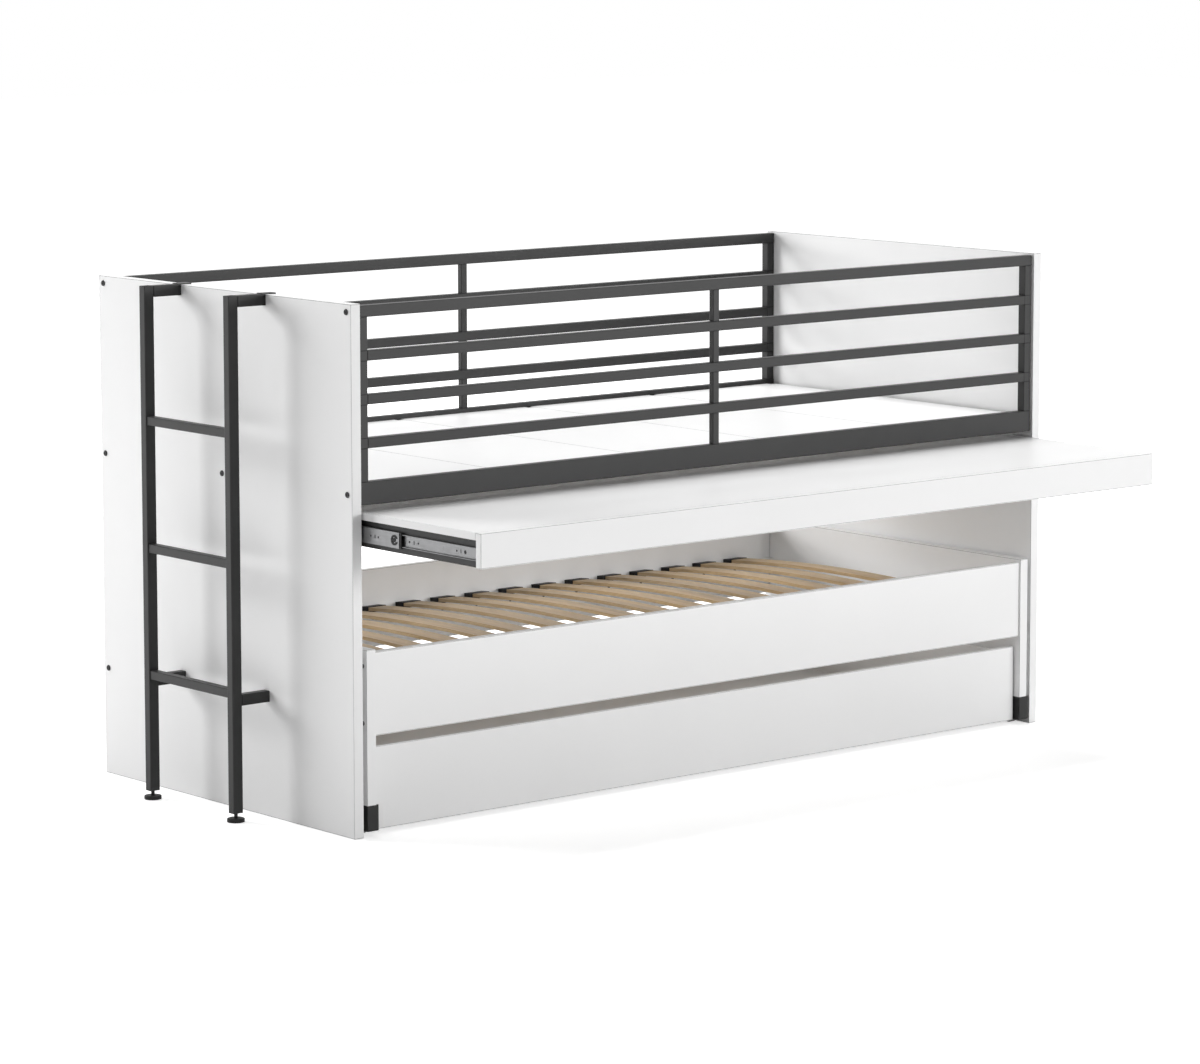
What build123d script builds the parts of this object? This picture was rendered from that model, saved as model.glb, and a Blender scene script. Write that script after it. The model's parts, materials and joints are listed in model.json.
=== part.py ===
from build123d import *
import math
import os

os.makedirs("parts", exist_ok=True)

# Every size is in millimetres. X runs along the bed, minus Y is its open front, Z is up from the floor.
# The pieces are drawn about the middle of the bed, then moved so that the footprint's centre is the origin.

# End panels of laminated board
inside_length = 2028
panel_thickness = 24
bed_depth = 956
bed_height = 1150
panel_edge = 1

# Steel tube of the guards and beams
tube_wall = 1.5
tube_radius = 2
rail_depth = 22
rail_setback = 6
rail_end_gap = 2
top_rail_drop = 5
top_rail_height = 25
side_rail_height = 50
desk_headroom = 14.5
mid_rail_height = 22
mid_rail_count = 3
end_post_width = 22
mid_post_width = 18
mid_post_depth = 15
end_plate = 3
boss_radius = 7
boss_depth = 14

# Bolts that hold the rails between the panels
bolt_radius = 3
bolt_head_radius = 6.5
bolt_head_height = 2.5
bolt_socket = 2.3
bolt_socket_depth = 1.6
bolt_clearance = 0.3
thread_clearance = 0.05

# Upper sleeping base
base_board_count = 5
base_end_clearance = 7.75
base_board_joint = 0.9
base_board_thickness = 16
base_board_drop = 10.5
base_side_clearance = 1.5
notch_length = 18
notch_width = 15
ledge_leg = 20
ledge_wall = 2
centre_beam_width = 30
centre_beam_height = 25
centre_tab_rise = 12
stretcher_height = 40
stretcher_middle = 246

# Ladder on the left-hand panel
ladder_reach = 98.5
stile_width = 25
stile_depth = 21
stile_spacing = 320.4
stile_bottom = 19.5
arm_height = 25
arm_rise = 1.5
lower_arm_bottom = 256
rung_size = 20
rung_count = 3
rung_pitch = 285
lowest_rung_top = 293
hook_leg = 8.5
hook_plate = 3
hook_drop = 14
hook_clearance = 0.3
foot_radius = 19.5
foot_height = 8
foot_edge = 2
stem_radius = 4
stem_depth = 42
stem_clearance = 0.1
end_plug_height = 30
end_plug_clearance = 0.2

# Pull-out desk, drawn 400 mm out
desk_out = 400
desk_length = 2018
desk_top_height = 703.5
desk_board = 16
desk_depth = 560
fascia_height = 74.5
carrier_width = 20
desk_rail_height = 40
desk_rail_inset = 20

# Telescopic slides, measured from the panel's inner face (s) and from the slide's centre line
slide_space = 12.4
slide_drop = 45.7
slide_sheet = 1.2
slide_length = 500
slide_setback = 29
slide_outer_half = 22.8
slide_outer_lip = 10.8
slide_mid_half = 17
slide_mid_start = 3.2
slide_mid_lip = 10.4
slide_mid_out = 155
slide_inner_half = 13.5
slide_inner_lip = 6.2
bumper_length = 6
bumper_plate = 1.5
bumper_start = 4.5
latch_from_end = 16
latch_radius = 11
latch_bore = 6.5
latch_thickness = 1.2
latch_start = 2.0
latch_slot = 7
latch_knob_radius = 4.6
ball_cage_length = 150
ball_cage_sheet = 0.6
ball_count = 6
ball_clearance = 0.1
outer_cage_start = 2.0
outer_cage_from_front = 70
inner_cage_start = 4.9
inner_cage_from_front = 44
slide_hole_radius = 2.3
slide_big_hole_radius = 4
slide_slot_length = 9
inner_hole_places = (71, 201.5, 231.5)
inner_slot_places = (57.3, 216)
inner_big_hole_place = 42.5
mid_hole_places = (71.5, 97.5)
mid_slot_place = 83
slide_screw_radius = 1.7
slide_screw_head = 3.4
slide_screw_length = 13
outer_screw_places = (37, 229, 421)
inner_screw_places = (118, 280, 440)

# Lower bed on rollers
lower_gap = 10.7
lower_side_thickness = 24
lower_side_height = 407
lower_clearance = 12
lower_depth = 921.5
lower_rail_thickness = 18
lower_front_recess = 5
lower_front_bottom = 218
lower_front_top = 400
slat_count = 17
slat_pitch = 105.5
slat_width = 50
slat_thickness = 8
slat_bow = 20
cap_depth = 31
cap_wall = 1.5
cap_back = 3
cap_lip = 24
cap_bottom = 308.4
cap_clearance = 0.2
lower_ledge_depth = 14
lower_ledge_height = 37
cap_screw_drop = 18
cap_screw_radius = 1.5
cap_screw_head = 3.5
cap_screw_head_height = 1.5
cap_screw_length = 12
joint_screw_radius = 2.5
joint_screw_head = 5
joint_screw_head_depth = 2
joint_screw_length = 50
joint_screw_heights = (371, 247)

# Roller shoes under the lower bed's side panels
shoe_width = 29.6
shoe_depth = 70
shoe_top = 68.4
roller_radius = 21
roller_width = 16
roller_from_front = 46
roller_room = 3
axle_radius = 3
axle_clearance = 0.05
roller_clearance = 0.08

# Drawer under the lower bed
drawer_gap = 3
drawer_recess = 18.5
drawer_front_thickness = 16
drawer_front_bottom = 10
drawer_front_top = 192
drawer_side_thickness = 14
drawer_side_inset = 6
drawer_side_bottom = 34
drawer_side_top = 178
drawer_length = 850
drawer_base_thickness = 8
castor_radius = 14
castor_width = 14
castor_inset = 60
castor_sheet = 2
castor_plate_length = 44
castor_side_gap = 1

# Places worked out from the sizes above
panel_inner = inside_length / 2
panel_outer = panel_inner + panel_thickness
front_edge = -bed_depth / 2
rear_edge = bed_depth / 2
rail_outer = rear_edge - rail_setback
rail_inner = rail_outer - rail_depth
rail_line = (rail_outer + rail_inner) / 2
rail_end = panel_inner - rail_end_gap
top_rail_top = bed_height - top_rail_drop
top_rail_bottom = top_rail_top - top_rail_height
top_rail_line = top_rail_top - top_rail_height / 2
side_rail_bottom = desk_top_height + desk_headroom
side_rail_top = side_rail_bottom + side_rail_height
side_rail_line = side_rail_bottom + side_rail_height / 2
base_top = side_rail_top - base_board_drop
base_bottom = base_top - base_board_thickness
base_board_pitch = (inside_length - 2 * base_end_clearance) / base_board_count
ladder_x = -panel_outer - ladder_reach
stile_inner_x = ladder_x + stile_width
stile_y = stile_spacing / 2
ladder_top = bed_height + arm_rise
slide_front = front_edge + slide_setback
slide_middle_line = desk_top_height - slide_drop
desk_front = front_edge - desk_out
desk_back_of_fascia = desk_front + desk_board
desk_rear = desk_front + desk_depth
desk_under = desk_top_height - desk_board
fascia_bottom = desk_top_height - fascia_height
carrier_x = panel_inner - slide_space
lower_outer = panel_inner - lower_gap
lower_inner = lower_outer - lower_side_thickness
lower_rear = front_edge + lower_depth
lower_front_face = front_edge + lower_front_recess
lower_inside_front = lower_front_face + lower_rail_thickness
lower_inside_rear = lower_rear - lower_rail_thickness
shoe_overhang = shoe_width - lower_side_thickness
drawer_left = -lower_inner + shoe_overhang + drawer_gap
drawer_right = lower_inner - drawer_gap
drawer_face = front_edge + drawer_recess
drawer_back_of_front = drawer_face + drawer_front_thickness
drawer_rear = drawer_back_of_front + drawer_length
drawer_base_bottom = drawer_side_bottom

# The footprint's centre, with the ladder at one end and the desk out in front
footprint_left = ladder_x + stile_width / 2 - foot_radius
footprint_right = panel_outer + bolt_head_height
origin_x = (footprint_left + footprint_right) / 2
origin_y = (desk_front + rear_edge) / 2
to_origin = Pos(-origin_x, -origin_y, 0)


def corners(a, b):
    """Lowest and highest corner of the box between two opposite points."""
    low = [min(p, q) for p, q in zip(a, b)]
    high = [max(p, q) for p, q in zip(a, b)]
    return low, high


def block(a, b):
    """A box between two opposite corners."""
    low, high = corners(a, b)
    middle = [(p + q) / 2 for p, q in zip(low, high)]
    size = [q - p for p, q in zip(low, high)]
    return Pos(*middle) * Box(*size)


def board(a, b, edge=panel_edge):
    """A board with slightly rounded edges."""
    shape = block(a, b)
    return fillet(shape.edges(), edge)


def tube(a, b, along):
    """A square-section steel tube, open at both ends. along is 0, 1 or 2 for X, Y or Z."""
    low, high = corners(a, b)
    axis = (Axis.X, Axis.Y, Axis.Z)[along]
    outside = block(low, high)
    outside = fillet(outside.edges().filter_by(axis), tube_radius)
    inside_low = [p + tube_wall for p in low]
    inside_high = [q - tube_wall for q in high]
    inside_low[along] = low[along]
    inside_high[along] = high[along]
    return outside - block(inside_low, inside_high)


def rod(start, end, radius):
    """A round bar between two points."""
    direction = Vector(*end) - Vector(*start)
    section = Plane(origin=start, z_dir=direction) * Circle(radius)
    return extrude(section, direction.length)


def save(node, *pieces):
    """Write one sub-part, moved to the footprint's centre. Several pieces stay separate solids."""
    moved = [to_origin * piece for piece in pieces]
    shape = moved[0]
    if len(moved) > 1:
        shape = Compound(children=moved)
    export_step(shape, f"parts/{node}.step")


# Panels and bolts

bolt_places = (
    (-rail_line, top_rail_line),
    (rail_line, top_rail_line),
    (-rail_line, side_rail_line),
    (rail_line, side_rail_line),
    (0, side_rail_line),
    (rail_line, stretcher_middle),
)
outer_screw_ys = [slide_front + place for place in outer_screw_places]


def panel_bolt(side, y, z):
    """Button-head bolt, from outside the panel into a rail's end."""
    face = side * panel_outer
    crown = face + side * bolt_head_height
    tip = side * (rail_end - boss_depth + 2)
    head = rod((face, y, z), (crown, y, z), bolt_head_radius)
    rim = head.edges().sort_by(Axis.X)[-1 if side > 0 else 0]
    head = fillet(rim, bolt_head_height * 0.6)
    shank = rod((face, y, z), (tip, y, z), bolt_radius)
    socket = Plane(origin=(crown, y, z), z_dir=(-side, 0, 0)) * RegularPolygon(bolt_socket, 6)
    return head + shank - extrude(socket, bolt_socket_depth)


def end_panel(side):
    """Full-height end panel, drilled for the bolts and the desk slides' screws."""
    low = (side * panel_inner, front_edge, 0)
    high = (side * panel_outer, rear_edge, bed_height)
    panel = board(low, high)
    for y, z in bolt_places:
        start = (side * (panel_inner - 1), y, z)
        end = (side * (panel_outer + 1), y, z)
        panel -= rod(start, end, bolt_radius + bolt_clearance)
    for y in outer_screw_ys:
        start = (side * (panel_inner - 1), y, slide_middle_line)
        end = (side * (panel_inner + slide_screw_length + 1), y, slide_middle_line)
        panel -= rod(start, end, slide_screw_radius + thread_clearance)
    return panel


# Guards

rail_gap = (top_rail_bottom - side_rail_top - mid_rail_count * mid_rail_height) / (mid_rail_count + 1)
mid_rail_bottoms = [
    side_rail_top + rail_gap + i * (mid_rail_height + rail_gap) for i in range(mid_rail_count)
]


def bolted_rail(side, bottom, height):
    """Long tube with welded end plates and threaded bosses that reach the panels."""
    low = (-rail_end, side * rail_outer, bottom)
    high = (rail_end, side * rail_inner, bottom + height)
    rail = tube(low, high, 0)
    y = side * rail_line
    z = bottom + height / 2
    half_y = rail_depth / 2 - tube_wall
    half_z = height / 2 - tube_wall
    for end in (-1, 1):
        near = (end * rail_end, y - half_y, z - half_z)
        far = (end * (rail_end - end_plate), y + half_y, z + half_z)
        boss_inner = end * (rail_end - boss_depth)
        rail += block(near, far)
        rail += rod((end * panel_inner, y, z), (boss_inner, y, z), boss_radius)
        rail -= rod((end * panel_inner, y, z), (boss_inner, y, z), bolt_radius + thread_clearance)
    return rail


def mid_rails(side):
    """Lighter rails that run between the end posts."""
    x = rail_end - end_post_width
    rails = []
    for bottom in mid_rail_bottoms:
        low = (-x, side * rail_outer, bottom)
        high = (x, side * rail_inner, bottom + mid_rail_height)
        rails.append(tube(low, high, 0))
    return rails


def guard_posts(side):
    """Two end posts, and the middle post in short lengths between the rails."""
    posts = []
    for end in (-1, 1):
        low = (end * rail_end, side * rail_outer, side_rail_top)
        high = (end * (rail_end - end_post_width), side * rail_inner, top_rail_bottom)
        posts.append(tube(low, high, 2))
    starts = [side_rail_top] + [bottom + mid_rail_height for bottom in mid_rail_bottoms]
    ends = mid_rail_bottoms + [top_rail_bottom]
    for start, end in zip(starts, ends):
        low = (-mid_post_width / 2, side * rail_line - mid_post_depth / 2, start)
        high = (mid_post_width / 2, side * rail_line + mid_post_depth / 2, end)
        posts.append(tube(low, high, 2))
    return posts


# Upper base

def base_ledge(side):
    """Steel angle along a side rail, under the boards' ends."""
    upright_low = (-rail_end, side * rail_inner, base_bottom - ledge_leg)
    upright_high = (rail_end, side * (rail_inner - ledge_wall), base_bottom)
    flat_low = (-rail_end, side * rail_inner, base_bottom - ledge_wall)
    flat_high = (rail_end, side * (rail_inner - ledge_leg), base_bottom)
    return block(upright_low, upright_high) + block(flat_low, flat_high)


def base_board(index):
    """One cross board, with a corner notch at each end of its right-hand edge."""
    middle = (index - (base_board_count - 1) / 2) * base_board_pitch
    half_x = (base_board_pitch - base_board_joint) / 2
    half_y = rail_inner - base_side_clearance
    shape = block((middle - half_x, -half_y, base_bottom), (middle + half_x, half_y, base_top))
    for side in (-1, 1):
        inner = (middle + half_x - notch_length, side * (half_y - notch_width), base_bottom)
        outer = (middle + half_x, side * half_y, base_top)
        shape -= block(inner, outer)
    return shape


def centre_beam():
    """Beam under the middle of the boards, hung from the panels by a bolted tab at each end."""
    half = centre_beam_width / 2
    tab_inner = panel_inner - end_plate
    bottom = base_bottom - centre_beam_height
    beam = tube((-tab_inner, -half, bottom), (tab_inner, half, base_bottom), 0)
    for end in (-1, 1):
        low = (end * tab_inner, -half, bottom)
        high = (end * panel_inner, half, base_bottom + centre_tab_rise)
        start = (end * tab_inner, 0, side_rail_line)
        stop = (end * panel_inner, 0, side_rail_line)
        nut_end = (end * (tab_inner - end_plate), 0, side_rail_line)
        beam += block(low, high)
        beam -= rod(start, stop, bolt_radius + thread_clearance)
    return beam


def centre_bolt(side):
    """The middle bolt ends at the centre beam's tab, so it is shorter than the rail bolts."""
    bolt = panel_bolt(side, 0, side_rail_line)
    cut_from = (side * (panel_inner - end_plate), -bolt_head_radius, side_rail_line - bolt_head_radius)
    cut_to = (0, bolt_head_radius, side_rail_line + bolt_head_radius)
    return bolt - block(cut_from, cut_to)


# Ladder

def stile(side):
    """Upright of the ladder."""
    low = (ladder_x, side * stile_y - stile_depth / 2, stile_bottom)
    high = (stile_inner_x, side * stile_y + stile_depth / 2, ladder_top)
    return tube(low, high, 2)


def ladder_arm(side, bottom, end_x):
    """Short tube that holds a stile off the panel."""
    low = (stile_inner_x, side * stile_y - stile_depth / 2, bottom)
    high = (end_x, side * stile_y + stile_depth / 2, bottom + arm_height)
    return tube(low, high, 0)


def rung(index):
    """Tread tube between the stiles."""
    top = lowest_rung_top + index * rung_pitch
    middle = ladder_x + stile_width / 2
    reach = stile_y - stile_depth / 2
    low = (middle - rung_size / 2, -reach, top - rung_size)
    high = (middle + rung_size / 2, reach, top)
    return tube(low, high, 1)


def hook(side):
    """Bracket on the top arm's end that lies over the panel's top edge and down its inside."""
    low_y = side * stile_y - stile_depth / 2
    high_y = side * stile_y + stile_depth / 2
    leg_x = -panel_outer - hook_leg
    lip_x = -panel_inner + hook_clearance
    top = bed_height + hook_plate
    leg = block((leg_x, low_y, ladder_top - arm_height), (-panel_outer, high_y, top))
    plate = block((leg_x, low_y, bed_height), (lip_x + hook_plate, high_y, top))
    lip = block((lip_x, low_y, bed_height - hook_drop), (lip_x + hook_plate, high_y, top))
    return leg + plate + lip


def foot_hole(side, top, radius):
    """Bore for a foot's stem, from the stile's lower end up."""
    x = ladder_x + stile_width / 2
    y = side * stile_y
    return rod((x, y, stile_bottom), (x, y, top), radius)


def ladder_end_plug(side):
    """Plastic plug in the stile's lower end, with a threaded bore for the foot."""
    x = ladder_x + stile_width / 2
    y = side * stile_y
    half_x = stile_width / 2 - tube_wall - end_plug_clearance
    half_y = stile_depth / 2 - tube_wall - end_plug_clearance
    top = stile_bottom + end_plug_height
    plug = block((x - half_x, y - half_y, stile_bottom), (x + half_x, y + half_y, top))
    return plug - foot_hole(side, top, stem_radius + stem_clearance)


def ladder_foot(side):
    """Levelling foot: a disc on a threaded stem."""
    x = ladder_x + stile_width / 2
    y = side * stile_y
    disc = rod((x, y, 0), (x, y, foot_height), foot_radius)
    disc = fillet(disc.edges().group_by(Axis.Z)[-1], foot_edge)
    stem = rod((x, y, foot_height / 2), (x, y, foot_height + stem_depth), stem_radius)
    return disc + stem


# Telescopic slides

def channel(side, y, length, start, lip, half, sheet, web_at_start=True):
    """Folded channel along Y. start and lip are its two depths from the panel's inner face."""
    outside = block(
        (side * (panel_inner - start), y, slide_middle_line - half),
        (side * (panel_inner - lip), y + length, slide_middle_line + half),
    )
    inner_start = start + sheet if web_at_start else start
    inner_lip = lip if web_at_start else lip - sheet
    hollow = block(
        (side * (panel_inner - inner_start), y, slide_middle_line - half + sheet),
        (side * (panel_inner - inner_lip), y + length, slide_middle_line + half - sheet),
    )
    return outside - hollow


def through(side, y, radius, from_depth, to_depth):
    """Round cutter through a slide's web."""
    start = (side * (panel_inner - from_depth), y, slide_middle_line)
    end = (side * (panel_inner - to_depth), y, slide_middle_line)
    return rod(start, end, radius)


def slot_through(side, y, radius, from_depth, to_depth):
    """Upright slot cutter through a slide's web."""
    half = slide_slot_length / 2 - radius
    plane = Plane(origin=(side * (panel_inner - from_depth), y, slide_middle_line), z_dir=(-side, 0, 0))
    straight = block(
        (side * (panel_inner - from_depth), y - radius, slide_middle_line - half),
        (side * (panel_inner - to_depth), y + radius, slide_middle_line + half),
    )
    shape = straight
    for end in (-1, 1):
        shape += Pos(0, 0, end * half) * extrude(plane * Circle(radius), to_depth - from_depth)
    return shape


def slide_outer(side):
    """Member screwed to the panel."""
    member = channel(side, slide_front, slide_length, 0, slide_outer_lip, slide_outer_half, slide_sheet)
    for y in outer_screw_ys:
        member -= through(side, y, slide_screw_radius + thread_clearance, 0, slide_sheet)
    return member


def countersunk_screw(side, y, head_depth, tip_depth):
    """Screw whose thin head sits flat on a web. Depths count from the panel's inner face."""
    direction = 1 if tip_depth > head_depth else -1
    head_top = head_depth - direction * ball_cage_sheet / 2
    shank = through(side, y, slide_screw_radius, head_depth, tip_depth)
    head = through(side, y, slide_screw_head, head_top, head_depth)
    return shank + head


mid_front = slide_front - slide_mid_out


def slide_middle(side):
    """Middle member, part of the way out."""
    member = channel(
        side, mid_front, slide_length, slide_mid_start, slide_mid_lip, slide_mid_half, slide_sheet
    )
    web_end = slide_mid_start + slide_sheet
    for place in mid_hole_places:
        member -= through(side, mid_front + place, slide_hole_radius, slide_mid_start, web_end)
    slot_y = mid_front + mid_slot_place
    member -= slot_through(side, slot_y, slide_hole_radius * 0.6, slide_mid_start, web_end)
    return member


def slide_bumper(side):
    """Plastic stop on the middle member's front end, round the inner member."""
    return channel(
        side,
        mid_front - bumper_length,
        bumper_length,
        bumper_start,
        slide_mid_lip,
        slide_mid_half,
        bumper_plate,
    )


def slide_latch(side):
    """Plastic release ring on the middle member's back."""
    y = mid_front + latch_from_end
    end = latch_start + latch_thickness
    ring = through(side, y, latch_radius, latch_start, end)
    ring -= through(side, y, latch_bore, latch_start, end)
    mouth = block(
        (side * (panel_inner - latch_start), y, slide_middle_line - latch_slot / 2),
        (side * (panel_inner - end), y - latch_radius, slide_middle_line + latch_slot / 2),
    )
    bridge = block(
        (side * (panel_inner - latch_start), y, slide_middle_line - latch_slot / 4),
        (side * (panel_inner - end), y + latch_bore + 1, slide_middle_line + latch_slot / 4),
    )
    knob = through(side, y, latch_knob_radius, latch_start, end)
    return ring - mouth + bridge + knob


def ball_cage(side, y, start, lip, inside_half, outside_half):
    """Folded strip with two rows of bearing balls between a pair of members."""
    ball_line = (inside_half + outside_half) / 2
    ball_radius = (outside_half - inside_half) / 2 - ball_clearance
    half = ball_line + ball_cage_sheet / 2
    cage = channel(side, y, ball_cage_length, start, lip, half, ball_cage_sheet)
    ball_depth = (start + lip) / 2 + ball_cage_sheet
    step = ball_cage_length / ball_count
    for i in range(ball_count):
        for row in (-1, 1):
            place = Pos(
                side * (panel_inner - ball_depth),
                y + (i + 0.5) * step,
                slide_middle_line + row * ball_line,
            )
            cage += place * Sphere(ball_radius)
    return cage


def slide_inner(side):
    """Member screwed to the desk's carrier, open towards the panel."""
    web_start = slide_space - slide_sheet
    member = channel(
        side,
        desk_back_of_fascia,
        slide_length,
        slide_inner_lip,
        slide_space,
        slide_inner_half,
        slide_sheet,
        web_at_start=False,
    )
    for place in inner_hole_places:
        member -= through(side, desk_back_of_fascia + place, slide_hole_radius, web_start, slide_space)
    for place in inner_slot_places:
        y = desk_back_of_fascia + place
        member -= slot_through(side, y, slide_hole_radius * 0.6, web_start, slide_space)
    y = desk_back_of_fascia + inner_big_hole_place
    member -= through(side, y, slide_big_hole_radius, web_start, slide_space)
    for place in inner_screw_places:
        y = desk_back_of_fascia + place
        member -= through(side, y, slide_screw_radius + thread_clearance, web_start, slide_space)
    return member


# Desk

def desk_carrier(side):
    """Steel tube under the desk's end, which the slide is screwed to."""
    low = (side * carrier_x, desk_back_of_fascia, fascia_bottom)
    high = (side * (carrier_x - carrier_width), desk_rear - desk_rail_inset, desk_under)
    carrier = tube(low, high, 1)
    for place in inner_screw_places:
        y = desk_back_of_fascia + place
        depth = slide_space + tube_wall
        carrier -= through(side, y, slide_screw_radius + thread_clearance, slide_space, depth)
    return carrier


def desk_back_rail():
    """Tube that ties the two carriers together."""
    x = carrier_x - carrier_width
    y = desk_rear - desk_rail_inset
    low = (-x, y - carrier_width, desk_under - desk_rail_height)
    return tube(low, (x, y, desk_under), 0)


# Lower bed

cap_middle_y = (lower_inside_front + lower_inside_rear) / 2
slat_half = (lower_inside_rear - lower_inside_front) / 2 - cap_back
bow_radius = (slat_half**2 + slat_bow**2) / (2 * slat_bow)
slat_end_bottom = cap_bottom + cap_wall
bow_centre_z = slat_end_bottom + slat_thickness + slat_bow - bow_radius
slat_xs = [(i - (slat_count - 1) / 2) * slat_pitch for i in range(slat_count)]


def on_arc(y, offset):
    """Point on the slats' bow. offset is measured from a slat's top face."""
    radius = bow_radius + offset
    z = bow_centre_z + math.sqrt(radius**2 - (y - cap_middle_y) ** 2)
    return (0, y, z)


cap_under = -slat_thickness - cap_wall
ledge_top = on_arc(cap_middle_y + slat_half + cap_back, cap_under)[2]


def bowed_band(width, y_from, y_to, below, above):
    """Strip that follows the slats' bow, between two offsets from a slat's top face."""
    middle = (y_from + y_to) / 2
    top = ThreePointArc(on_arc(y_from, above), on_arc(middle, above), on_arc(y_to, above))
    bottom = ThreePointArc(on_arc(y_to, below), on_arc(middle, below), on_arc(y_from, below))
    outline = [top, Line(top @ 1, bottom @ 0), bottom, Line(bottom @ 1, top @ 0)]
    face = make_face(outline)
    return Pos(-width / 2, 0, 0) * extrude(face, width, dir=(1, 0, 0))


def make_slat():
    """Sprung beech slat, bowed upwards."""
    return bowed_band(slat_width, cap_middle_y - slat_half, cap_middle_y + slat_half, -slat_thickness, 0)


def make_cap(side):
    """Plastic holder for a slat's end, open towards the middle, with a longer lower lip."""
    wall_y = cap_middle_y + side * (slat_half + cap_back)
    mouth_y = wall_y - side * cap_depth
    lip_y = mouth_y - side * cap_lip
    slat_end = cap_middle_y + side * slat_half
    width = slat_width + 2 * cap_wall
    cap = bowed_band(width, wall_y, mouth_y, cap_under, cap_wall)
    cap += bowed_band(width, wall_y, lip_y, cap_under, -slat_thickness)
    foot_y = wall_y - side * lower_ledge_depth
    cap += block((-width / 2, wall_y, ledge_top), (width / 2, foot_y, ledge_top + cap_wall))
    room = bowed_band(
        slat_width + 2 * cap_clearance,
        slat_end + side * cap_clearance,
        lip_y - side,
        -slat_thickness - cap_clearance,
        cap_clearance,
    )
    return cap - room


def cap_screw(side):
    """Screw under a cap, into the ledge."""
    face = cap_middle_y + side * (slat_half + cap_back - lower_ledge_depth)
    z = ledge_top - cap_screw_drop
    head = rod((0, face - side * cap_screw_head_height, z), (0, face, z), cap_screw_head)
    shank = rod((0, face, z), (0, face + side * cap_screw_length, z), cap_screw_radius)
    return head + shank


def lower_ledge(side):
    """Batten along the inside of the lower bed's front or back, under the caps."""
    wall_y = cap_middle_y + side * (slat_half + cap_back)
    face_y = wall_y - side * lower_ledge_depth
    low = (-lower_inner, face_y, ledge_top - lower_ledge_height)
    ledge = block(low, (lower_inner, wall_y, ledge_top))
    z = ledge_top - cap_screw_drop
    for x in slat_xs:
        start = (x, face_y, z)
        end = (x, face_y + side * cap_screw_length, z)
        ledge -= rod(start, end, cap_screw_radius + thread_clearance)
    return ledge


joint_screw_ys = (
    lower_front_face + lower_rail_thickness / 2,
    lower_rear - lower_rail_thickness / 2,
)


def joint_screw(side, y, z, extra=0):
    """Countersunk screw through a side panel into the front or back panel."""
    face = side * lower_outer
    head_end = side * (lower_outer - joint_screw_head_depth)
    tip = side * (lower_outer - joint_screw_length - extra)
    head = rod((face, y, z), (head_end, y, z), joint_screw_head + extra)
    return head + rod((face, y, z), (tip, y, z), joint_screw_radius + extra)


def shoe_left_x(side):
    """The shoe's left face lies in the plane of its side panel's left face."""
    return side * lower_outer if side < 0 else lower_inner


def shoe_ys(end):
    """Front and rear limits of the shoe at one end of a side panel."""
    if end < 0:
        return front_edge, front_edge + shoe_depth
    return lower_rear - shoe_depth, lower_rear


def roller_y(end):
    """Where a roller's axle runs across the bed."""
    if end < 0:
        return front_edge + roller_from_front
    return lower_rear - roller_from_front


def lower_side(side):
    """Side panel of the lower bed, cut away at both lower corners for the roller shoes."""
    low = (side * lower_outer, front_edge, lower_clearance)
    high = (side * lower_inner, lower_rear, lower_side_height)
    panel = board(low, high)
    for end in (-1, 1):
        y_from, y_to = shoe_ys(end)
        overshoot = end * panel_edge
        notch_low = (side * lower_outer, min(y_from, y_from + overshoot), lower_clearance)
        notch_high = (side * lower_inner, max(y_to, y_to + overshoot), shoe_top)
        panel -= block(notch_low, notch_high)
    for y in joint_screw_ys:
        for z in joint_screw_heights:
            panel -= joint_screw(side, y, z, thread_clearance)
    return panel


def lower_cross_panel(y_from, y_to, bottom, top):
    """Front or back panel of the lower bed."""
    panel = board((-lower_inner, y_from, bottom), (lower_inner, y_to, top))
    y = (y_from + y_to) / 2
    for side in (-1, 1):
        for z in joint_screw_heights:
            panel -= joint_screw(side, y, z, thread_clearance)
    return panel


def shoe(side, end):
    """Plastic housing in a side panel's lower corner, open below for its roller."""
    x = shoe_left_x(side)
    y_from, y_to = shoe_ys(end)
    middle_x = x + shoe_width / 2
    half_x = roller_width / 2 + roller_room / 2
    half_y = roller_radius + roller_room
    y = roller_y(end)
    body = block((x, y_from, lower_clearance), (x + shoe_width, y_to, shoe_top))
    body = fillet(body.edges().filter_by(Axis.Z), panel_edge)
    pocket_low = (middle_x - half_x, y - half_y, lower_clearance)
    pocket_high = (middle_x + half_x, y + half_y, 2 * roller_radius + roller_room)
    body -= block(pocket_low, pocket_high)
    return body - roller_axle(side, end, axle_clearance)


def roller_axle(side, end, extra=0):
    """Steel pin across the shoe."""
    x = shoe_left_x(side)
    inset = end_plate - 1
    start = (x + inset - extra, roller_y(end), roller_radius)
    stop = (x + shoe_width - inset + extra, roller_y(end), roller_radius)
    return rod(start, stop, axle_radius + extra)


def wheel(x, y, radius, width):
    """Solid roller with rounded shoulders and a bore that runs on its axle."""
    body = rod((x - width / 2, y, radius), (x + width / 2, y, radius), radius)
    body = fillet(body.edges(), width / 8)
    bore = rod((x - width, y, radius), (x + width, y, radius), axle_radius + roller_clearance)
    return body - bore


# Drawer

castor_xs = (
    drawer_left + castor_inset,
    (drawer_left + drawer_right) / 2,
    drawer_right - castor_inset,
)
castor_ys = (drawer_back_of_front + castor_inset, drawer_rear - castor_inset)


def drawer_side(side):
    """Side board of the drawer."""
    edge = drawer_left + drawer_side_inset if side < 0 else drawer_right - drawer_side_inset
    low = (edge, drawer_back_of_front, drawer_side_bottom)
    high = (edge - side * drawer_side_thickness, drawer_rear, drawer_side_top)
    return board(low, high)


def between_sides():
    """The drawer's inner limits along X."""
    inset = drawer_side_inset + drawer_side_thickness
    return drawer_left + inset, drawer_right - inset


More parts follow.
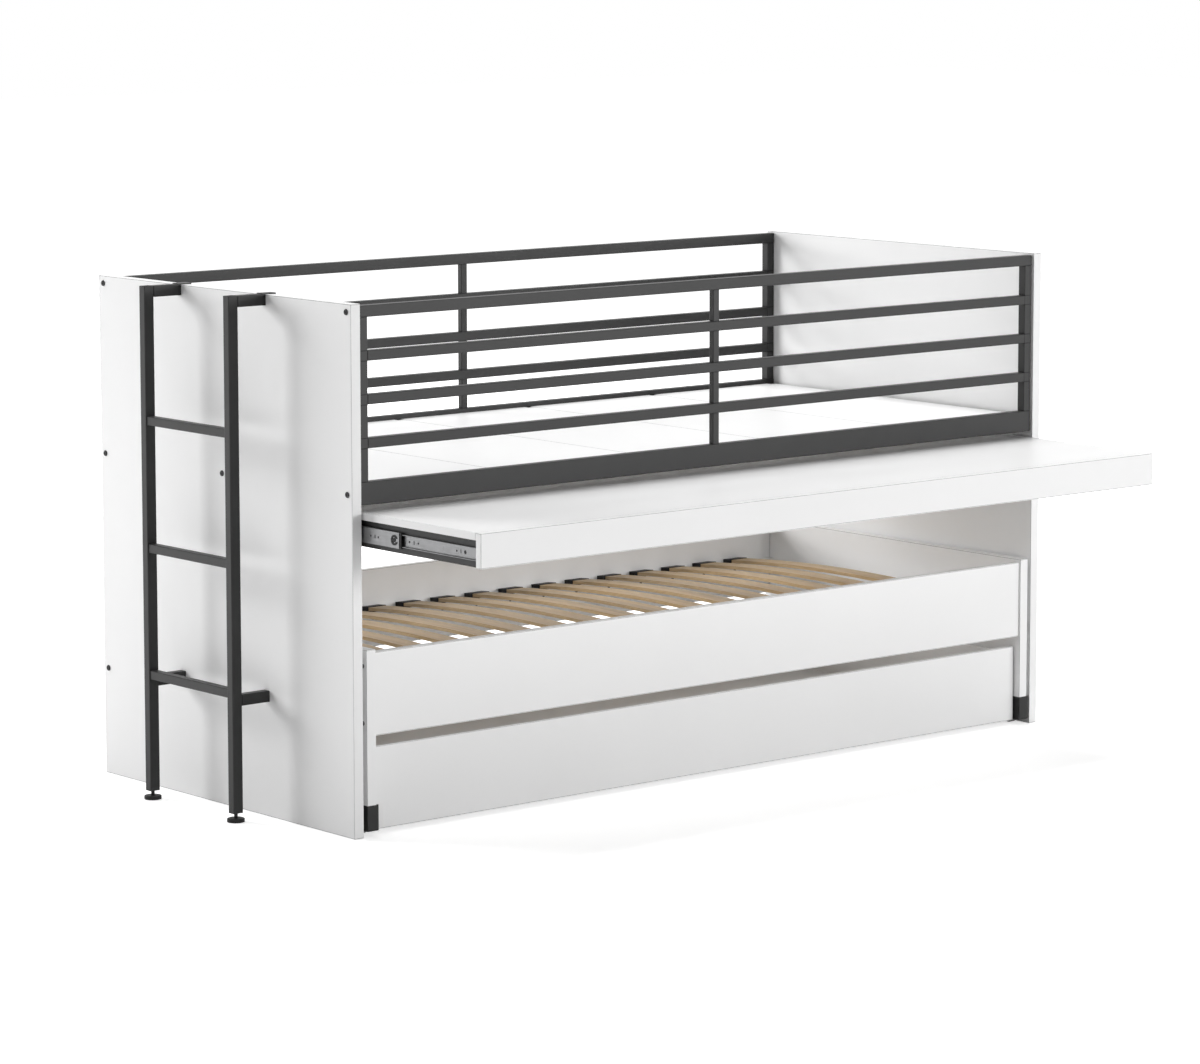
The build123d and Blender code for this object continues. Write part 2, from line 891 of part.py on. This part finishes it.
def castor_bracket(x, y):
    """Bent plate under the drawer's base, with a cheek on each side of the wheel."""
    half_x = castor_width / 2 + castor_side_gap + castor_sheet
    half_y = castor_plate_length / 2
    top = drawer_base_bottom
    cheek_bottom = castor_radius - 2 * axle_radius
    cheek_half = 2 * axle_radius
    bracket = block((x - half_x, y - half_y, top - castor_sheet), (x + half_x, y + half_y, top))
    for side in (-1, 1):
        low = (x + side * half_x, y - cheek_half, cheek_bottom)
        high = (x + side * (half_x - castor_sheet), y + cheek_half, top)
        bracket += block(low, high)
    return bracket - castor_axle(x, y, axle_clearance)


def castor_axle(x, y, extra=0):
    """Rivet through the bracket's cheeks."""
    half_x = castor_width / 2 + castor_side_gap + castor_sheet
    start = (x - half_x - extra, y, castor_radius)
    return rod(start, (x + half_x + extra, y, castor_radius), axle_radius + extra)


# Write the sub-parts

for side, name in ((-1, "left"), (1, "right")):
    save(f"end_panel_{name}", end_panel(side))

for side, name in ((-1, "front"), (1, "rear")):
    save(f"{name}_top_rail", bolted_rail(side, top_rail_bottom, top_rail_height))
    save(f"{name}_mid_rails", *mid_rails(side))
    save(f"{name}_side_rail", bolted_rail(side, side_rail_bottom, side_rail_height))
    save(f"{name}_guard_posts", *guard_posts(side))

save("rear_stretcher", bolted_rail(1, stretcher_middle - stretcher_height / 2, stretcher_height))
save("base_ledges", base_ledge(-1), base_ledge(1))
save("centre_beam", centre_beam())
for index in range(base_board_count):
    save(f"base_board_{index + 1}", base_board(index))

panel_bolts = []
for side in (-1, 1):
    for y, z in bolt_places:
        bolt = panel_bolt(side, y, z) if y else centre_bolt(side)
        panel_bolts.append(bolt)
save("panel_bolts", *panel_bolts)

hook_x = -panel_outer - hook_leg
save("ladder_stiles", stile(-1), stile(1))
save("ladder_rungs", *[rung(index) for index in range(rung_count)])
save(
    "ladder_arms",
    ladder_arm(-1, ladder_top - arm_height, hook_x),
    ladder_arm(1, ladder_top - arm_height, hook_x),
    ladder_arm(-1, lower_arm_bottom, -panel_outer),
    ladder_arm(1, lower_arm_bottom, -panel_outer),
)
save("ladder_hooks", hook(-1), hook(1))
save("ladder_end_plugs", ladder_end_plug(-1), ladder_end_plug(1))
save("ladder_foot_front", ladder_foot(-1))
save("ladder_foot_rear", ladder_foot(1))

outer_screws = []
inner_screws = []
for side in (-1, 1):
    for y in outer_screw_ys:
        outer_screws.append(countersunk_screw(side, y, slide_sheet, -slide_screw_length))
    for place in inner_screw_places:
        y = desk_back_of_fascia + place
        web_start = slide_space - slide_sheet
        tip = slide_space + slide_screw_length
        inner_screws.append(countersunk_screw(side, y, web_start, tip))
save("slide_outer_members", slide_outer(-1), slide_outer(1))
save("slide_outer_screws", *outer_screws)
save("slide_middle_members", slide_middle(-1), slide_middle(1))
save("slide_bumpers", slide_bumper(-1), slide_bumper(1))
save("slide_latches", slide_latch(-1), slide_latch(1))
save("slide_inner_members", slide_inner(-1), slide_inner(1))
save("slide_inner_screws", *inner_screws)

outer_cage_y = slide_front + outer_cage_from_front
inner_cage_y = mid_front + inner_cage_from_front
save(
    "slide_outer_ball_cages",
    *[
        ball_cage(
            side,
            outer_cage_y,
            outer_cage_start,
            slide_mid_lip - 1,
            slide_mid_half,
            slide_outer_half - slide_sheet,
        )
        for side in (-1, 1)
    ],
)
save(
    "slide_inner_ball_cages",
    *[
        ball_cage(
            side,
            inner_cage_y,
            inner_cage_start,
            slide_mid_lip - 1,
            slide_inner_half,
            slide_mid_half - slide_sheet,
        )
        for side in (-1, 1)
    ],
)

desk_half = desk_length / 2
save("desk_top", board(
    (-desk_half, desk_back_of_fascia, desk_under), (desk_half, desk_rear, desk_top_height)
))
save("desk_fascia", board(
    (-desk_half, desk_front, fascia_bottom), (desk_half, desk_back_of_fascia, desk_top_height)
))
save("desk_side_carriers", desk_carrier(-1), desk_carrier(1))
save("desk_back_rail", desk_back_rail())

for side, name in ((-1, "left"), (1, "right")):
    save(f"lower_bed_side_{name}", lower_side(side))
save("lower_bed_front", lower_cross_panel(
    lower_front_face, lower_inside_front, lower_front_bottom, lower_front_top
))
save("lower_bed_back", lower_cross_panel(
    lower_inside_rear, lower_rear, lower_front_bottom, lower_side_height
))
save("lower_bed_ledges", lower_ledge(-1), lower_ledge(1))

slat = make_slat()
save("slats", *[Pos(x, 0, 0) * slat for x in slat_xs])
caps = []
cap_screws = []
for side in (-1, 1):
    cap = make_cap(side)
    screw = cap_screw(side)
    caps += [Pos(x, 0, 0) * cap for x in slat_xs]
    cap_screws += [Pos(x, 0, 0) * screw for x in slat_xs]
save("slat_caps", *caps)
save("slat_cap_screws", *cap_screws)

joint_screws = []
for side in (-1, 1):
    for y in joint_screw_ys:
        joint_screws += [joint_screw(side, y, z) for z in joint_screw_heights]
save("lower_bed_screws", *joint_screws)

corner_places = [(side, end) for side in (-1, 1) for end in (-1, 1)]
save("lower_bed_shoes", *[shoe(side, end) for side, end in corner_places])
save("lower_bed_axles", *[roller_axle(side, end) for side, end in corner_places])
for end, name in ((-1, "front"), (1, "rear")):
    rollers = []
    for side in (-1, 1):
        middle_x = shoe_left_x(side) + shoe_width / 2
        rollers.append(wheel(middle_x, roller_y(end), roller_radius, roller_width))
    save(f"lower_bed_{name}_wheels", *rollers)

save("drawer_front", board(
    (drawer_left, drawer_face, drawer_front_bottom),
    (drawer_right, drawer_back_of_front, drawer_front_top),
))
save("drawer_sides", drawer_side(-1), drawer_side(1))
inner_left, inner_right = between_sides()
save("drawer_back", board(
    (inner_left, drawer_rear - drawer_side_thickness, drawer_side_bottom),
    (inner_right, drawer_rear, drawer_side_top),
))
save("drawer_base", block(
    (inner_left, drawer_back_of_front, drawer_base_bottom),
    (inner_right, drawer_rear - drawer_side_thickness, drawer_base_bottom + drawer_base_thickness),
))
castor_frames = []
for x in castor_xs:
    for y in castor_ys:
        castor_frames.append(castor_bracket(x, y))
        castor_frames.append(castor_axle(x, y))
save("drawer_castor_frames", *castor_frames)
for y, name in zip(castor_ys, ("front", "rear")):
    save(f"drawer_{name}_wheels", *[wheel(x, y, castor_radius, castor_width) for x in castor_xs])
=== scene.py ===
import json
import math

import bpy
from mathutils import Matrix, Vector


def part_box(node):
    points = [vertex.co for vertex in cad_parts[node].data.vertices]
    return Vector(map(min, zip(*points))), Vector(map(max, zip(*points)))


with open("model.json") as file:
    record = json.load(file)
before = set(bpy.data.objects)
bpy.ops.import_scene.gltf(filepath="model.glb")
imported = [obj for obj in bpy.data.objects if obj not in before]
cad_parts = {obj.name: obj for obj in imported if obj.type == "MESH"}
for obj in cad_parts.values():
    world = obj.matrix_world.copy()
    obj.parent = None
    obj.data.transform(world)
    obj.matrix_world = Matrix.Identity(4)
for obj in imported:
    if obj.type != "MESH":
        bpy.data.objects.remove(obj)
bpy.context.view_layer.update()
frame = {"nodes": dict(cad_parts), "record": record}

nodes = frame["nodes"]


# Measures, in metres

slat_pitch = 0.1055

# Heights where the guards' posts butt against the rails
post_joints = (0.768, 0.8395, 0.8615, 0.933, 0.955, 1.0265, 1.0485, 1.12)

# How far inside the end of a piece the painted shade line of its joint runs
edge_band = 0.0014
bare_edge = 0.0004
butt = 0.0005

# Half widths of these painted shade lines, and the part of the colour that stays in them
board_painted_shade_width = 0.0005
board_painted_shade_level = 0.45
tube_painted_shade_width = 0.0008
tube_painted_shade_level = 0.1

# The floor keeps its shadows within the near reach, and is plain white past the far one
floor_size = 60
floor_drop = 0.0005
near_reach = 2.0
far_reach = 5.5
floor_lift = 0.62


# Tones and numbers that many looks share

white_tone = 0.94
tube_tone = 0.034
tube_rough = 0.42
tube_specular = 0.25

# Where a noise starts and ends its way from one tone to the other
ramp_start = 0.3
ramp_end = 0.7

# Colour sockets of the mix node, which has others of the same names
mix_factor = 0
mix_a = 6
mix_b = 7
mix_result = 2

plain_white = (1, 1, 1, 1)


def grey(value):
    return (value, value, value, 1)


class Graph:
    """Builds one tree of shader nodes. What its functions return is an output that feeds others."""

    def __init__(self, tree):
        self.tree = tree
        tree.nodes.clear()

    def add(self, kind):
        return self.tree.nodes.new(kind)

    def feed(self, node, socket, value):
        """Links an output to a node's socket, or sets the socket to a plain value."""
        if isinstance(value, bpy.types.NodeSocket):
            self.tree.links.new(value, node.inputs[socket])
        else:
            node.inputs[socket].default_value = value

    def math(self, operation, *values):
        node = self.add("ShaderNodeMath")
        node.operation = operation
        for i, value in enumerate(values):
            self.feed(node, i, value)
        return node.outputs["Value"]

    def seen(self):
        """One where the camera looks, straight, by a gloss or through something clear."""
        rays = self.add("ShaderNodeLightPath").outputs
        straight_or_gloss = self.math("MAXIMUM", rays["Is Camera Ray"], rays["Is Glossy Ray"])
        return self.math("MAXIMUM", straight_or_gloss, rays["Is Transmission Ray"])


class Look(Graph):
    """Builds one procedural material in the object's own coordinates, in metres."""

    def __init__(self, name):
        self.mat = bpy.data.materials.new(name)
        self.mat.use_nodes = True
        super().__init__(self.mat.node_tree)
        self.bsdf = self.add("ShaderNodeBsdfPrincipled")
        self.coords = self.add("ShaderNodeTexCoord").outputs["Object"]
        self.feed(self.add("ShaderNodeOutputMaterial"), "Surface", self.bsdf.outputs["BSDF"])

    def set(self, socket, value):
        self.feed(self.bsdf, socket, value)

    def stretched(self, scale):
        node = self.add("ShaderNodeMapping")
        self.feed(node, "Scale", scale)
        self.feed(node, "Vector", self.coords)
        return node.outputs["Vector"]

    def axes(self):
        """The three coordinates, each on its own."""
        node = self.add("ShaderNodeSeparateXYZ")
        self.feed(node, "Vector", self.coords)
        return node.outputs

    def noise(self, vector, scale, detail=3, rough=0.5):
        node = self.add("ShaderNodeTexNoise")
        self.feed(node, "Vector", vector)
        self.feed(node, "Scale", scale)
        self.feed(node, "Detail", detail)
        self.feed(node, "Roughness", rough)
        return node.outputs["Fac"]

    def ramp(self, source, stops):
        node = self.add("ShaderNodeValToRGB")
        band = node.color_ramp
        while len(band.elements) < len(stops):
            band.elements.new(0.5)
        for element, (place, colour) in zip(band.elements, stops):
            element.position = place
            element.color = colour
        self.feed(node, "Fac", source)
        return node.outputs["Color"]

    def greys(self, source, low, high):
        """Turns a noise into greys between two levels."""
        return self.ramp(source, [(ramp_start, grey(low)), (ramp_end, grey(high))])

    def mix(self, factor, a, b, blend="MIX"):
        node = self.add("ShaderNodeMix")
        node.data_type = "RGBA"
        node.blend_type = blend
        for socket, value in ((mix_factor, factor), (mix_a, a), (mix_b, b)):
            self.feed(node, socket, value)
        return node.outputs[mix_result]

    def bump(self, height, strength, distance, over=None):
        """Turns a height into a normal, over another bump where one is given."""
        node = self.add("ShaderNodeBump")
        self.feed(node, "Height", height)
        self.feed(node, "Strength", strength)
        self.feed(node, "Distance", distance)
        if over is not None:
            self.feed(node, "Normal", over)
        return node.outputs["Normal"]

    def painted_shade_lines(self, colour, planes, half_width, shade):
        """Paints shade on a colour as thin dark lines, where a surface crosses planes given as
        (axis, metres).
        """
        if not planes:
            return colour
        place = self.axes()
        gaps = [self.math("ABSOLUTE", self.math("SUBTRACT", place[axis], at)) for axis, at in planes]
        nearest = gaps[0]
        for gap in gaps[1:]:
            nearest = self.math("MINIMUM", nearest, gap)
        on_shade_line = self.math("LESS_THAN", nearest, half_width)
        return self.mix(on_shade_line, colour, self.mix(1.0, colour, grey(shade), "MULTIPLY"))


def laminate(name, tone, warmth=1.0, planes=()):
    """White laminated board: satin, with a faint pearl texture and painted shade lines at the joints
    of its edge bands.
    """
    m = Look(name)
    low = tone * 0.985
    cloud = m.noise(m.coords, scale=3.5)
    colour = m.ramp(cloud, [
        (ramp_start, (low, low, low * warmth, 1)),
        (ramp_end, (tone, tone, tone * warmth, 1)),
    ])
    fine = m.noise(m.coords, scale=900, detail=2)
    # Painted shade lines at the edge-band joints, darkening the laminate colour
    m.set("Base Color", m.painted_shade_lines(colour, planes, board_painted_shade_width, board_painted_shade_level))
    m.set("Roughness", m.greys(m.noise(m.coords, scale=40), low=0.36, high=0.46))
    m.set("Normal", m.bump(fine, strength=0.10, distance=0.0002))
    m.set("IOR", 1.46)
    return m.mat


def powder_coat(name, tone, rough, specular, planes=()):
    """Dark powder coat with its orange-peel grain, and painted shade lines in the creases where
    tubes butt together.
    """
    m = Look(name)
    colour = m.greys(m.noise(m.coords, scale=9), low=tone * 0.93, high=tone * 1.06)
    fine = m.noise(m.coords, scale=1400, rough=0.6)
    peel = m.noise(m.coords, scale=420, detail=2)
    soft = m.bump(peel, strength=0.12, distance=0.0004)
    # Painted shade lines at the butt joints, darkening the powder-coat colour
    m.set("Base Color", m.painted_shade_lines(colour, planes, tube_painted_shade_width, tube_painted_shade_level))
    m.set("Roughness", m.greys(fine, low=rough - 0.06, high=rough + 0.08))
    m.set("Normal", m.bump(fine, strength=0.18, distance=0.0002, over=soft))
    m.set("IOR", 1.5)
    m.set("Specular IOR Level", specular)
    return m.mat


def moulded_plastic(name, tone, rough):
    """Moulded plastic with spark-eroded grain."""
    m = Look(name)
    cloud = m.noise(m.coords, scale=25, detail=2)
    grain = m.noise(m.coords, scale=1800, detail=2, rough=0.7)
    m.set("Base Color", m.greys(cloud, low=tone * 0.9, high=tone * 1.12))
    m.set("Roughness", m.greys(grain, low=rough - 0.08, high=rough + 0.1))
    m.set("Normal", m.bump(grain, strength=0.25, distance=0.0002))
    m.set("Specular IOR Level", 0.22)
    return m.mat


def zinc_steel(name, tone, rough):
    """Rolled zinc-plated sheet, drawn along Y."""
    m = Look(name)
    spangle = m.noise(m.coords, scale=60)
    drawn = m.noise(m.stretched((1, 0.02, 1)), scale=900)
    m.set("Base Color", m.ramp(spangle, [
        (ramp_start, (tone * 0.9, tone * 0.91, tone * 0.92, 1)),
        (ramp_end, (tone, tone, tone * 1.02, 1)),
    ]))
    m.set("Roughness", m.greys(drawn, low=rough - 0.07, high=rough + 0.1))
    m.set("Normal", m.bump(drawn, strength=0.15, distance=0.0002))
    m.set("Metallic", 1.0)
    return m.mat


def beech(name, pitch):
    """Bent beech ply slats, each with its own tone, with grain along Y."""
    m = Look(name)
    place = m.axes()
    slat = m.add("ShaderNodeTexWhiteNoise")
    slat.noise_dimensions = "1D"
    m.feed(slat, "W", m.math("ROUND", m.math("DIVIDE", place["X"], pitch)))

    # Each slat is cut from its own place in the wood, and the grain is long in Y
    wood = m.add("ShaderNodeCombineXYZ")
    m.feed(wood, "X", m.math("ADD", place["X"], m.math("MULTIPLY", slat.outputs["Value"], 7.0)))
    m.feed(wood, "Y", m.math("MULTIPLY", place["Y"], 0.05))
    m.feed(wood, "Z", place["Z"])
    figure = m.noise(wood.outputs["Vector"], scale=95, detail=4, rough=0.6)
    streak = m.noise(wood.outputs["Vector"], scale=420, rough=0.6)
    fleck = m.noise(m.stretched((1, 0.12, 1)), scale=900, detail=2)

    colour = m.ramp(figure, [
        (0.25, (0.48, 0.33, 0.175, 1)),
        (0.5, (0.59, 0.43, 0.245, 1)),
        (0.78, (0.70, 0.535, 0.33, 1)),
    ])
    streaks = m.ramp(streak, [(0.35, (0.72, 0.66, 0.60, 1)), (0.6, plain_white)])
    flecks = m.ramp(fleck, [(0.30, (0.60, 0.50, 0.42, 1)), (0.42, plain_white)])
    own_tone = m.ramp(slat.outputs["Value"], [
        (0.0, (0.86, 0.86, 0.88, 1)),
        (1.0, (1.08, 1.05, 1.0, 1)),
    ])
    for part, layer in ((0.35, streaks), (0.25, flecks), (1.0, own_tone)):
        colour = m.mix(part, colour, layer, "MULTIPLY")
    m.set("Base Color", colour)
    m.set("Roughness", m.greys(streak, low=0.38, high=0.52))
    m.set("Normal", m.bump(streak, strength=0.15, distance=0.0003))
    return m.mat


def end_planes(low, high, axes, inset):
    """Planes just inside both ends of a piece, along some of its axes."""
    return [(i, low[i] + inset) for i in axes] + [(i, high[i] - inset) for i in axes]


def board_planes(node):
    """Planes inside the narrow edges of a board, where its edge band is glued on and a painted shade
    line runs.
    """
    low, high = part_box(node)
    # Base boards have bare ends: their lines are painted shadow in the gaps between neighbouring
    # boards
    if node.startswith("base_board"):
        return end_planes(low, high, [0], bare_edge)
    sizes = [high[i] - low[i] for i in range(3)]
    flat = [i for i in range(3) if i != sizes.index(min(sizes))]
    return end_planes(low, high, flat, edge_band)


def tube_planes(node):
    """Planes inside the ends of a tube piece, where painted shade lines mark its welded joints."""
    low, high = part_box(node)
    if node.endswith("guard_posts"):
        return [(2, z + side * butt) for z in post_joints for side in (-1, 1)]
    if node.endswith("mid_rails"):
        return end_planes(low, high, [0], butt)
    if node == "ladder_rungs":
        return end_planes(low, high, [1], butt)
    if node == "ladder_arms":
        return [(0, low[0] + butt)]
    return []


looks = {
    "white_batten": laminate("white_batten_look", tone=0.92, warmth=0.98),
    "dark_grey_tube": powder_coat("dark_grey_tube_look", tube_tone, tube_rough, tube_specular),
    "black_steel": powder_coat("black_steel_look", tone=0.02, rough=0.40, specular=0.3),
    "black_plastic": moulded_plastic("black_plastic_look", tone=0.02, rough=0.5),
    "roller_plastic": moulded_plastic("roller_plastic_look", tone=0.10, rough=0.42),
    "zinc_steel": zinc_steel("zinc_steel_look", tone=0.22, rough=0.36),
    "beech": beech("beech_look", slat_pitch),
}


def look_of(node, slot):
    """Boards and jointed tubes have a look of their own, with their own painted shade lines."""
    if slot == "white_laminate":
        return laminate(node + "_look", white_tone, planes=board_planes(node))
    if slot == "dark_grey_tube" and tube_planes(node):
        return powder_coat(node + "_look", tube_tone, tube_rough, tube_specular, tube_planes(node))
    return looks[slot]


for entry in frame["record"]["subparts"]:
    mesh = nodes[entry["node"]].data
    mesh.materials.clear()
    mesh.materials.append(look_of(entry["node"], entry["material_slot"]))


# Floor, light and camera

def white_stage():
    """Pale floor that fades into the white background, and keeps the bed's shadow."""
    bpy.ops.mesh.primitive_plane_add(size=floor_size, location=(0, 0, -floor_drop))
    floor = bpy.context.object
    floor.name = "floor"
    m = Look("floor_look")
    reach = m.add("ShaderNodeVectorMath")
    reach.operation = "LENGTH"
    m.feed(reach, "Vector", m.coords)
    fade = m.add("ShaderNodeMapRange")
    fade.interpolation_type = "SMOOTHSTEP"
    m.feed(fade, "Value", reach.outputs["Value"])
    m.feed(fade, "From Min", near_reach)
    m.feed(fade, "From Max", far_reach)
    m.feed(fade, "To Min", floor_lift)
    m.feed(fade, "To Max", 1.0)
    speck = m.noise(m.coords, scale=30, detail=2)
    m.set("Base Color", m.greys(speck, low=0.925, high=0.935))
    m.set("Roughness", 0.9)
    m.set("Specular IOR Level", 0.0)
    m.set("Emission Color", plain_white)
    m.set("Emission Strength", m.math("MULTIPLY", m.seen(), fade.outputs["Result"]))
    floor.data.materials.append(m.mat)


def world_light(strength):
    """Even pale light, plain white where it is seen."""
    world = bpy.data.worlds.new("studio")
    bpy.context.scene.world = world
    world.use_nodes = True
    sky = Graph(world.node_tree)
    lit = sky.add("ShaderNodeBackground")
    white = sky.add("ShaderNodeBackground")
    for node, level in ((lit, strength), (white, 1)):
        sky.feed(node, "Color", plain_white)
        sky.feed(node, "Strength", level)
    choice = sky.add("ShaderNodeMixShader")
    for socket, value in enumerate((sky.seen(), lit.outputs[0], white.outputs[0])):
        sky.feed(choice, socket, value)
    sky.feed(sky.add("ShaderNodeOutputWorld"), "Surface", choice.outputs[0])


def area_light(name, place, aim, size, watts, glossy=True):
    """Rectangular soft light that points at a place."""
    data = bpy.data.lights.new(name, "AREA")
    data.shape = "RECTANGLE"
    data.size, data.size_y = size
    data.energy = watts
    lamp = bpy.data.objects.new(name, data)
    bpy.context.scene.collection.objects.link(lamp)
    lamp.location = place
    direction = Vector(aim) - Vector(place)
    lamp.rotation_euler = direction.to_track_quat("-Z", "Y").to_euler()
    lamp.visible_glossy = glossy


white_stage()
world_light(0.10)
area_light(
    "key_rear_left", place=(-4.9, 7.2, 3.7), aim=(-0.3, 0.1, 0.6),
    size=(3.9, 3.9), watts=600, glossy=False,
)
area_light(
    "fill_front_right", place=(4.0, -8.2, 1.9), aim=(0.2, -0.2, 0.6),
    size=(7.0, 1.6), watts=395,
)
area_light(
    "low_behind", place=(0.5, 7.0, 1.5), aim=(0.3, 0.0, 0.3),
    size=(7.0, 2.6), watts=240, glossy=False,
)
area_light(
    "top", place=(1.6, 0.3, 8.5), aim=(0.4, 0.0, 0.6),
    size=(1.2, 3.0), watts=475, glossy=False,
)

camera_data = bpy.data.cameras.new("camera")
camera = bpy.data.objects.new("camera", camera_data)
bpy.context.scene.collection.objects.link(camera)
camera_data.sensor_width = 36
camera_data.lens = 130.1577
camera_data.shift_y = -0.1
camera_data.clip_end = 200
camera.location = (-6.44104, -7.59201, 1.99434)
camera.rotation_euler = (math.radians(83.28058), math.radians(0.0576), math.radians(-40.0196))
bpy.context.scene.camera = camera

bpy.context.scene.view_settings.view_transform = "Standard"
